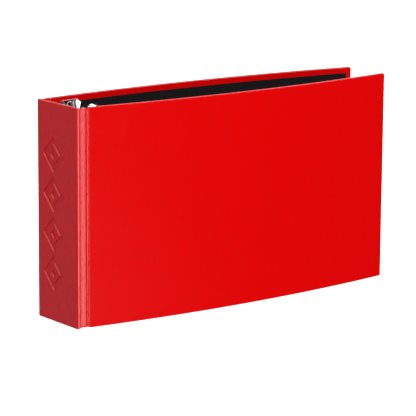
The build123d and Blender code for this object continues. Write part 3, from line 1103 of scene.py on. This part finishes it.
@dataclass
class Spine:
    """The spine: a wrapped board with four lozenge marks pressed into it, and its lining."""

    case: Case
    edge_radius: float = 0.5 * MM
    upright_radius: float = 1.6 * MM
    mark_count: int = 4
    mark_pitch: float = 25.3 * MM
    mark_middle: Point = (4.2 * MM, 69.0 * MM)
    mark_tip: float = 11.45 * MM
    island_tip: float = 7.05 * MM
    heart_tip: float = 2.95 * MM
    corner: float = 0.5 * MM
    wall: tuple[Point, ...] = (
        (0.55 * MM, 0.0), (0.34 * MM, 0.03 * MM), (0.16 * MM, 0.14 * MM),
        (-0.22 * MM, 0.56 * MM), (-0.40 * MM, 0.67 * MM), (-0.62 * MM, 0.70 * MM),
    )
    board_face: float = 0.95 * MM
    board_corner: float = 0.8 * MM
    board_rim: float = 0.2 * MM
    lining_inset: float = 1.6 * MM
    # How pale the mark shoulders are painted: a painted highlight standing in for light on the rims.
    mark_wear: float = 0.6

    def ring(self, bm: bmesh.types.BMesh, centre: Point, tip: float, grow: float, depth: float) -> list:
        """Adds one lozenge of vertices with rounded corners.

        Args:
            bm: the working mesh.
            centre: the lozenge's centre in Y and Z.
            tip: from its centre to an unrounded corner.
            grow: how far it is offset outwards.
            depth: how deep below the spine's face it lies.

        Returns:
            Its vertices in order.
        """
        radius = self.corner + grow
        arm = tip + grow * math.sqrt(2) - radius * math.sqrt(2)
        steps = 4
        ring = []
        for quarter in range(4):
            toward = math.pi / 2 * quarter
            for step in range(steps + 1):
                angle = toward + math.pi / 4 * (2 * step / steps - 1)
                y = centre[0] + arm * math.cos(toward) + radius * math.cos(angle)
                z = centre[1] + arm * math.sin(toward) + radius * math.sin(angle)
                ring.append(bm.verts.new((depth - self.case.shell / 2, y, z)))
        return ring

    def press_mark(self, bm: bmesh.types.BMesh, centre: Point) -> list:
        """Presses one mark: a lozenge-shaped channel round an island with a small heart, with a painted highlight on
        its rims.

        Args:
            bm: the working mesh.
            centre: the mark's centre in Y and Z.

        Returns:
            The outermost ring of vertices, which lies on the spine's face.
        """
        layer = bm.verts.layers.float["edge"]
        rings = [self.ring(bm, centre, self.mark_tip, grow, depth) for grow, depth in self.wall]
        rings += [self.ring(bm, centre, self.island_tip, -grow, depth) for grow, depth in reversed(self.wall)]
        rings += [self.ring(bm, centre, self.heart_tip, grow, depth) for grow, depth in self.wall]
        for outer, inner in zip(rings, rings[1:]):
            for index in range(len(outer)):
                after = (index + 1) % len(outer)
                bm.faces.new((outer[index], outer[after], inner[after], inner[index]))
        bm.faces.new(rings[-1])
        # The shoulders of channel, island and heart get a paler film colour through the edge attribute: a painted
        # highlight on the mark rims.
        for start in (1, 2 * len(self.wall) - 3, 2 * len(self.wall) + 1):
            for ring in rings[start : start + 2]:
                for vertex in ring:
                    vertex[layer] = self.mark_wear
        return rings[0]

    def build_wrap(self) -> bpy.types.Object:
        """Makes the wrapped board with its marks."""
        case = self.case
        half, width = case.shell / 2, case.spine_width / 2
        low, high = Vector((-half, -width, 0.0)), Vector((half - case.film, width, case.height))
        slab = Slab(low, high, self.edge_radius, corner_axis=2, corner=self.upright_radius, corner_below=0.0)
        bm = slab.mesh({})
        mark_edges(bm, (1, 2), case.rim)
        layer = bm.verts.layers.float["edge"]
        face = min(bm.faces, key=lambda candidate: (round(candidate.normal.x, 3), -candidate.calc_area()))
        rim = list(face.verts)
        bm.faces.remove(face)
        field_rim = []
        for vertex in rim:
            up = math.copysign(case.rim, vertex.co.z - case.height / 2)
            inset = Vector((0.0, math.copysign(case.rim, vertex.co.y), up))
            field_rim.append(bm.verts.new(vertex.co - inset))
        for index in range(4):
            after = (index + 1) % 4
            bm.faces.new((rim[index], rim[after], field_rim[after], field_rim[index]))
        loops = [field_rim]
        for index in range(self.mark_count):
            height = self.mark_middle[1] + (index - (self.mark_count - 1) / 2) * self.mark_pitch
            loops.append(self.press_mark(bm, (self.mark_middle[0], height)))
        edges = []
        for loop in loops:
            for first, second in zip(loop, loop[1:] + loop[:1]):
                edges.append(bm.edges.get((first, second)) or bm.edges.new((first, second)))
        bmesh.ops.triangle_fill(bm, use_beauty=True, edges=edges)
        for vertex in field_rim:
            vertex[layer] = 0.0
        piece = piece_from("spine_wrap_pressed", bm)
        SPINE_FILM.dress(piece)
        return piece

    def build_board(self) -> bpy.types.Object:
        """Makes the board inside, with its face behind the pressed marks."""
        low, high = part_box("spine_board")
        front = Vector((self.board_face - self.case.shell / 2, low.y, low.z))
        slab = Slab(front, high, self.board_rim, 2, corner_axis=2, corner=self.board_corner, corner_below=0.0)
        piece = piece_from("spine_board_core", slab.mesh({}))
        BOARD.dress(piece)
        return piece

    def build_lining(self) -> bpy.types.Object:
        """Makes the spine's lining sheet."""
        case = self.case
        half, width = case.shell / 2, case.spine_width / 2 - self.lining_inset
        low = Vector((half - case.lining_depth, -width, case.turn_in))
        high = Vector((half, width, case.height - case.turn_in))
        piece = piece_from("spine_lining_sheet", Slab(low, high, case.lining_rim, 3).mesh({}))
        LINING.dress(piece)
        return piece

    def build(self) -> None:
        """Makes the spine's pieces and puts them on the spine."""
        wrap = self.build_wrap()
        flat_normals(wrap)
        finish_piece(wrap, "spine", Slot.FILM, ["spine_wrap"])
        finish_piece(self.build_board(), "spine", Slot.BOARD, ["spine_board"])
        lining = self.build_lining()
        flat_normals(lining)
        finish_piece(lining, "spine", Slot.LINING, ["spine_lining"])


# How far each cover swings outward from square.
SPLAYS = {Side.FRONT: math.radians(7.9), Side.BACK: math.radians(5.5)}
# How far each joint's film stays from the case's head and foot.
SHORTER = {Side.FRONT: 0.55 * MM, Side.BACK: 0.05 * MM}


@dataclass
class Hinge:
    """The creased joint beside the spine: film outside and lining inside, each in two halves that bend."""

    case: Case
    side: Side
    splay: float
    film_thickness: float = 0.3 * MM
    lining_thickness: float = 0.12 * MM
    bend: float = 0.35 * MM
    softness: float = 0.1 * MM
    row: float = 12.0 * MM
    row_rim: float = 1.0 * MM
    wear: float = 0.55
    steps: int = 4
    spine_half: tuple[Point, ...] = (
        (0.10, 22.44), (0.60, 22.46), (1.05, 22.34), (1.32, 21.95), (1.45, 21.35), (1.62, 20.92), (1.90, 20.80),
        (2.30, 20.88), (3.00, 21.07), (4.40, 21.48),
    )
    cover_half: tuple[Point, ...] = ((5.30, 21.72), (5.80, 21.76), (6.25, 21.66))
    cover_edge: tuple[Point, ...] = (
        (0.10, 0.80), (0.48, 0.84), (0.64, 1.00), (0.70, 1.50), (0.78, 1.70), (0.95, 1.76), (1.50, 1.76),
    )
    lining_spine_half: tuple[Point, ...] = (
        (1.30, 19.20), (1.33, 20.10), (1.60, 20.45), (2.30, 20.55), (3.00, 20.72), (4.40, 21.08),
    )
    lining_cover_half: tuple[Point, ...] = ((5.30, 21.05), (6.00, 20.60))
    lining_cover_edge: tuple[Point, ...] = ((0.40, -0.80), (1.10, -0.84), (1.75, -0.80))

    def on_cover(self, points: Sequence[Point]) -> list[Point]:
        """Plan points given along and out from the cover's crease, in X and outward distance."""
        crease = self.case.crease(self.side, "cover")
        cosine, sine = math.cos(self.splay), math.sin(self.splay)
        return [
            (crease.x + a * MM * cosine - o * MM * sine, abs(crease.y) + a * MM * sine + o * MM * cosine)
            for a, o in points
        ]

    def sheet(self, line: Sequence[Point], thickness: float, foot: float) -> bmesh.types.BMesh:
        """Raises a plan line into an upright closed sheet with softened head and foot.

        Args:
            line: its outer face in plan, in X and outward distance.
            thickness: how thick it is, inwards.
            foot: how far it stays from the case's head and foot.

        Returns:
            The working mesh.
        """
        ahead, behind = [*line[1:], line[-1]], [line[0], *line[:-1]]
        normals = [Vector((c[1] - a[1], a[0] - c[0])).normalized() for a, c in zip(behind, ahead)]
        soft = min(self.softness, thickness / 3)
        heights = [(foot, soft), (foot + soft, 0.0)]
        heights += [(z, 0.0) for z in even_places(foot, self.case.height - foot, self.row, self.row_rim)]
        heights += [(self.case.height - foot - soft, 0.0), (self.case.height - foot, soft)]
        bm = bmesh.new()
        layer = bm.verts.layers.float.new("edge")
        rings = []
        for height, squeeze in heights:
            ring = []
            for depths in ((squeeze, 1), (thickness - squeeze, -1)):
                ends = list(zip(line, normals))[:: depths[1]]
                for (x, out), normal in ends:
                    y = self.side.value * (out + normal.y * depths[0])
                    ring.append(bm.verts.new((x + normal.x * depths[0], y, height)))
            rings.append(ring)
            for vertex in ring:
                vertex[layer] = self.wear
        count = len(rings[0])
        for lower, upper in zip(rings, rings[1:]):
            for index in range(count):
                after = (index + 1) % count
                bm.faces.new((lower[index], lower[after], upper[after], upper[index]))
        for ring in (rings[0], rings[-1]):
            for index in range(count // 2 - 1):
                bm.faces.new((ring[index], ring[index + 1], ring[count - 2 - index], ring[count - 1 - index]))
        seams = {count - 1, count // 2 - 1}
        for lower, upper in zip(rings, rings[1:]):
            for index in seams | {(seam + 1) % count for seam in seams}:
                bm.edges.get((lower[index], upper[index])).smooth = False
        return bm

    def build_half(
        self, name: str, line: Sequence[Point], finish: Finish, thickness: float, foot: float, near: bool
    ) -> bpy.types.Object:
        """Makes one half of the joint and blends it across its crease.

        Args:
            name: the piece's name.
            line: its outer face in plan.
            finish: its finish.
            thickness: its thickness.
            foot: how far it stays from the case's head and foot.
            near: whether it is the half beside the spine.

        Returns:
            The blended piece.
        """
        piece = piece_from(name, self.sheet(smooth_path(line, self.steps), thickness, foot))
        finish.dress(piece)
        crease = self.case.crease(self.side, "strip" if near else "cover")
        start, end = crease.copy(), crease.copy()
        start.x -= self.bend
        end.x += self.bend
        word = self.side.word
        bodies = ("spine", f"{word}_strip") if near else (f"{word}_strip", f"{word}_cover")
        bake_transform(piece, *bodies, start=start, end=end)
        return piece

    def build(self) -> None:
        """Makes the joint's film and lining."""
        word = self.side.word
        looks = (
            ("film", self.spine_half, self.cover_half, self.cover_edge, HINGE_FILM, self.film_thickness,
             SHORTER[self.side], "hinge_strip"),
            ("lining", self.lining_spine_half, self.lining_cover_half, self.lining_cover_edge, LINING,
             self.lining_thickness, self.case.turn_in, "hinge_lining"),
        )
        for look, beside, beyond, edge, finish, thickness, foot, node in looks:
            near = [(x * MM, out * MM) for x, out in beside]
            far = [near[-1], *((x * MM, out * MM) for x, out in beyond), *self.on_cover(edge)]
            for end, line, replaces in (("spine", near, [f"{word}_{node}"]), ("cover", far, [])):
                name = f"{word}_joint_{look}_{end}"
                piece = self.build_half(name, line, finish, thickness, foot, end == "spine")
                finish_piece(piece, None, finish.slot, replaces)


# Mechanism

# The arch shaft's place on the bench.
SHAFT_P = -7.5 * MM
SHAFT_V = 7.4 * MM


@dataclass(frozen=True)
class Bench:
    """The mechanism's own directions: p along the back cover, v out from it and z up."""

    origin: Vector
    along: Vector
    out: Vector

    @classmethod
    def from_frame(cls) -> "Bench":
        """Finds the bench from the lever's axis and the arch shaft's joint."""
        joints = {joint["name"]: joint for joint in frame["joints"]}
        along = -Vector(joints["lever_press"]["axis"])
        out = Vector((along.y, -along.x, 0.0))
        shaft = Vector(joints["arch_swing"]["pos_m"])
        shaft.z = 0.0
        return cls(shaft - along * SHAFT_P - out * SHAFT_V, along, out)

    def at(self, p: float, v: float, z: float) -> Vector:
        """The point at p, v and z."""
        return self.origin + self.along * p + self.out * v + Vector((0.0, 0.0, z))

    def turn(self) -> Matrix:
        """The rotation that takes a lathe's Z to v."""
        return Matrix((self.along, Vector((0.0, 0.0, 1.0)), self.out)).transposed()


@dataclass
class PressedPart:
    """A pressed or turned steel part: a copy of its CAD node with its edges broken."""

    node: str
    body: str
    finish: PlatedMetal
    edge: float = 0.12 * MM
    sharp: float = math.radians(32)

    def build(self) -> None:
        """Copies the node, cleans its faces, rounds its edges and puts it on its body."""
        bm = bmesh.new()
        bm.from_mesh(frame["nodes"][self.node].data)
        bmesh.ops.remove_doubles(bm, verts=bm.verts, dist=0.001 * MM)
        bmesh.ops.dissolve_limit(bm, angle_limit=math.radians(1), verts=bm.verts, edges=bm.edges)
        piece = piece_from(f"{self.node}_finished", bm)
        modifier = piece.modifiers.new("broken_edges", "BEVEL")
        modifier.width = self.edge
        modifier.segments = 2
        modifier.limit_method = "ANGLE"
        modifier.angle_limit = self.sharp
        modifier.use_clamp_overlap = True
        modifier.harden_normals = True
        self.finish.dress(piece)
        finish_piece(piece, self.body, self.finish.slot, [self.node])


@dataclass
class ArchFrame:
    """Shaft, crank and two arches of bent wire."""

    bench: Bench
    ring_heights: Point = (30.0 * MM, 110.0 * MM)
    shaft_radius: float = 1.9 * MM
    arch_radius: float = 1.75 * MM
    post_p: float = 8.5 * MM
    arch_top: float = 33.0 * MM
    arch_tip: float = 24.52 * MM
    arch_bend: float = 8.0 * MM
    shaft_foot: float = 23.0 * MM
    crank_height: float = 119.0 * MM
    crank_reach: float = 8.5 * MM
    crank_bend: float = 3.0 * MM

    def build(self) -> None:
        """Bends the wires and puts them on the arches' body."""
        at = self.bench.at
        shaft = path_piece(
            "arch_shaft",
            [[at(SHAFT_P, SHAFT_V, self.shaft_foot), at(SHAFT_P, SHAFT_V, self.crank_height),
              at(SHAFT_P + self.crank_reach, SHAFT_V, self.crank_height)]],
        )
        run_tree(shaft, wire_tree(), CHROME, Wire_Radius=self.shaft_radius, Bend_Radius=self.crank_bend, Sides=28)
        finish_piece(shaft, "arches", Slot.CHROME, ["arch_frame"])
        runs = [
            [at(SHAFT_P, SHAFT_V, z), at(SHAFT_P, self.arch_top, z), at(self.post_p, self.arch_top, z),
             at(self.post_p, self.arch_tip, z)]
            for z in self.ring_heights
        ]
        arches = path_piece("arch_wires", runs)
        run_tree(
            arches, wire_tree(), CHROME, Wire_Radius=self.arch_radius, Bend_Radius=self.arch_bend, Bend_Steps=20,
            Sides=28,
        )
        finish_piece(arches, "arches", Slot.CHROME)


@dataclass
class ReturnSpring:
    """The close coil round the shaft, with a leg on the plate and a leg beside an arch."""

    bench: Bench
    coil_radius: float = 2.65 * MM
    wire_radius: float = 0.33 * MM
    pitch: float = 0.68 * MM
    turns: float = 13.0
    foot: float = 68.5 * MM
    plate_top: float = 4.0 * MM
    free_leg: float = 8.0 * MM

    def build(self) -> None:
        """Winds the spring and puts it on the back cover."""
        at, beside = self.bench.at, SHAFT_P + self.coil_radius
        top = self.foot + self.turns * self.pitch
        legs = path_piece(
            "return_spring_coil",
            [[at(beside, SHAFT_V, self.foot), at(beside, self.plate_top, self.foot)],
             [at(beside, SHAFT_V, top), at(beside, SHAFT_V + self.free_leg, top)]],
        )
        run_tree(
            legs, coil_tree(), NICKEL, Coil_Radius=self.coil_radius, Wire_Radius=self.wire_radius, Pitch=self.pitch,
            Turns=self.turns, Foot=at(SHAFT_P, SHAFT_V, self.foot),
        )
        finish_piece(legs, "back_cover", Slot.STEEL, ["return_spring"])


@dataclass
class Rivets:
    """Two tubular rivets through the plate's pads, with rolled flares inside and domed caps outside."""

    bench: Bench
    heights: Point = (6.4 * MM, 133.6 * MM)
    flare_profile: tuple[Point, ...] = (
        (0.0, -0.60), (1.25, -0.60), (1.28, 1.10), (1.45, 1.45), (1.95, 1.68), (2.45, 1.55), (2.76, 1.28),
        (2.80, 1.05), (2.62, 0.98), (2.10, 0.98), (2.10, -2.68), (3.95, -2.68), (4.16, -2.80), (4.18, -2.98),
        (3.90, -3.25), (2.60, -3.50), (1.20, -3.56), (0.0, -3.57),
    )

    def build(self) -> None:
        """Turns one rivet, sets it out twice and puts the pair on the back cover."""
        points = [(radius * MM, height * MM) for radius, height in self.flare_profile]
        pattern = piece_from("rivet_pattern", lathe(points, 40))
        layout = path_piece("tubular_rivets", [[self.bench.at(0.0, 0.0, z)] for z in self.heights])
        turn = self.bench.turn().to_euler()
        run_tree(layout, fastener_tree(), NICKEL, Fastener=pattern, Turn=turn)
        bpy.data.objects.remove(pattern)
        finish_piece(layout, "back_cover", Slot.STEEL, ["plate_rivets"])


# Studio


@dataclass(frozen=True)
class SoftBox:
    """A flat light that faces the binder from a direction."""

    name: str
    azimuth: float
    elevation: float
    distance: float
    size: Point
    power: float
    in_gloss: bool = True
    in_matte: bool = True
    colour: tuple = (1.0, 1.0, 1.0)

    def build(self, target: Vector) -> None:
        """Makes the light.

        Args:
            target: the point that it faces.
        """
        light = bpy.data.lights.new(self.name, "AREA")
        light.shape = "RECTANGLE"
        light.size, light.size_y = self.size
        light.energy = self.power
        light.color = self.colour
        lamp = bpy.data.objects.new(self.name, light)
        bpy.context.scene.collection.objects.link(lamp)
        azimuth, elevation = math.radians(self.azimuth), math.radians(self.elevation)
        away = Vector(
            (math.sin(azimuth) * math.cos(elevation), -math.cos(azimuth) * math.cos(elevation), math.sin(elevation))
        )
        lamp.location = target + away * self.distance
        lamp.rotation_mode = "QUATERNION"
        lamp.rotation_quaternion = (-away).to_track_quat("-Z", "Y")
        lamp.visible_camera = False
        lamp.visible_glossy = self.in_gloss
        lamp.visible_diffuse = self.in_matte


@dataclass(frozen=True)
class Studio:
    """Pale floor, white surround, soft lights and the camera."""

    eye: tuple = (-0.82839, -1.23876, 0.38999)
    yaw: float = math.radians(-37.36)
    pitch: float = math.radians(11.98)
    roll: float = math.radians(0.40)
    sensor: float = 36.0
    lens: float = 210.5
    floor_half: float = 6.0
    floor_colour: tuple = (0.92, 0.92, 0.92, 1.0)
    floor_roughness: float = 0.9
    floor_glow: float = 0.8
    matte_surround: float = 0.12
    gloss_surround: float = 0.04
    target: tuple = (0.1, 0.0, 0.07)
    lights: tuple[SoftBox, ...] = (
        SoftBox("key_above_front", 8.0, 46.0, 1.8, (1.6, 1.0), 29.0, in_gloss=False),
        SoftBox("fill_spine", -78.0, 30.0, 2.0, (1.4, 1.4), 17.0),
        SoftBox("fill_back", 165.0, 40.0, 2.0, (1.6, 1.2), 22.0, in_gloss=False),
        SoftBox("overhead", 20.0, 88.0, 1.3, (1.2, 0.9), 5.0),
        SoftBox("bounce_from_floor", -10.0, -52.0, 1.3, (1.8, 1.8), 18.0, in_gloss=False),
        SoftBox("card_behind_spine", -143.0, -12.0, 1.5, (1.1, 1.5), 2.1, in_matte=False, colour=(0.78, 0.8, 1.0)),
        SoftBox("card_left_front", -16.0, -12.0, 1.5, (0.5, 1.2), 22.0, in_matte=False),
        SoftBox("card_back_right", 143.0, 16.0, 1.6, (1.4, 0.8), 2.4, in_matte=False),
        SoftBox("card_for_plating", 60.0, 38.0, 1.6, (0.6, 0.6), 5.0, in_matte=False),
    )

    def build_camera(self) -> None:
        """Makes the camera."""
        camera = bpy.data.objects.new("camera", bpy.data.cameras.new("camera"))
        bpy.context.scene.collection.objects.link(camera)
        level = math.cos(self.pitch)
        ahead = Vector((-math.sin(self.yaw) * level, math.cos(self.yaw) * level, -math.sin(self.pitch)))
        right = ahead.cross(Vector((0.0, 0.0, 1.0))).normalized()
        up = right.cross(ahead)
        rolled_right = right * math.cos(self.roll) + up * math.sin(self.roll)
        rolled_up = up * math.cos(self.roll) - right * math.sin(self.roll)
        turned = Matrix((rolled_right, rolled_up, -ahead)).transposed().to_4x4()
        camera.matrix_world = Matrix.Translation(self.eye) @ turned
        camera.data.sensor_width = self.sensor
        camera.data.lens = self.lens
        camera.data.clip_start, camera.data.clip_end = 0.05, 50.0
        bpy.context.scene.camera = camera

    def build_floor(self) -> None:
        """Makes the floor, which only the camera sees: a light below stands for its bounce."""
        half = self.floor_half
        bm = bmesh.new()
        corners = [(-half, -half), (half, -half), (half, half), (-half, half)]
        bm.faces.new([bm.verts.new((x, y, 0.0)) for x, y in corners])
        floor = piece_from("studio_floor", bm)
        material = bpy.data.materials.new("studio_floor")
        material.use_nodes = True
        shader = material.node_tree.nodes["Principled BSDF"]
        shader.inputs["Base Color"].default_value = self.floor_colour
        shader.inputs["Roughness"].default_value = self.floor_roughness
        shader.inputs["Emission Color"].default_value = (1.0, 1.0, 1.0, 1.0)
        shader.inputs["Emission Strength"].default_value = self.floor_glow
        floor.data.materials.append(material)
        floor.visible_glossy = False
        floor.visible_diffuse = False
        floor.visible_shadow = False

    def build_world(self) -> None:
        """Makes the surround: white to the camera, dim grey to matte surfaces and dark to gloss."""
        world = bpy.data.worlds.new("surround")
        bpy.context.scene.world = world
        world.use_nodes = True
        world.node_tree.nodes.clear()
        w = Wiring(world.node_tree)
        path = w.node("ShaderNodeLightPath").outputs
        step = self.gloss_surround - self.matte_surround
        dim = w.math("MULTIPLY_ADD", path["Is Glossy Ray"], step, self.matte_surround)
        strength = w.math("MAXIMUM", dim, path["Is Camera Ray"])
        shader = w.node("ShaderNodeBackground", {"Color": (1.0, 1.0, 1.0, 1.0), "Strength": strength})
        w.node("ShaderNodeOutputWorld", {"Surface": shader.outputs[0]})

    def build(self) -> None:
        """Sets up the whole studio."""
        bpy.context.scene.view_settings.view_transform = "Standard"
        self.build_camera()
        self.build_floor()
        self.build_world()
        for light in self.lights:
            light.build(Vector(self.target))


def main() -> None:
    """Builds the binder and the studio in order."""
    logging.basicConfig(level=logging.INFO, format="%(name)s: %(message)s")
    case = Case.from_frame()
    Spine(case).build()
    for side, splay in SPLAYS.items():
        Cover(case, side, splay).build()
        Hinge(case, side, splay).build()
    for node in ("front_board", "back_board"):
        BOARD.dress(frame["nodes"][node])
    bench = Bench.from_frame()
    for node, body, finish, edge in (
        ("base_plate", "back_cover", CHROME, 0.22 * MM),
        ("lower_post", "back_cover", CHROME, 0.12 * MM),
        ("upper_post", "back_cover", CHROME, 0.12 * MM),
        ("release_lever", "lever", CHROME, 0.18 * MM),
        ("lever_pin", "back_cover", NICKEL, 0.15 * MM),
        ("roller_pin", "lever", NICKEL, 0.12 * MM),
        ("cam_roller", "roller", NICKEL, 0.15 * MM),
    ):
        PressedPart(node, body, finish, edge).build()
    Rivets(bench).build()
    ArchFrame(bench).build()
    ReturnSpring(bench).build()
    Studio().build()


if __name__ == "__main__":
    main()
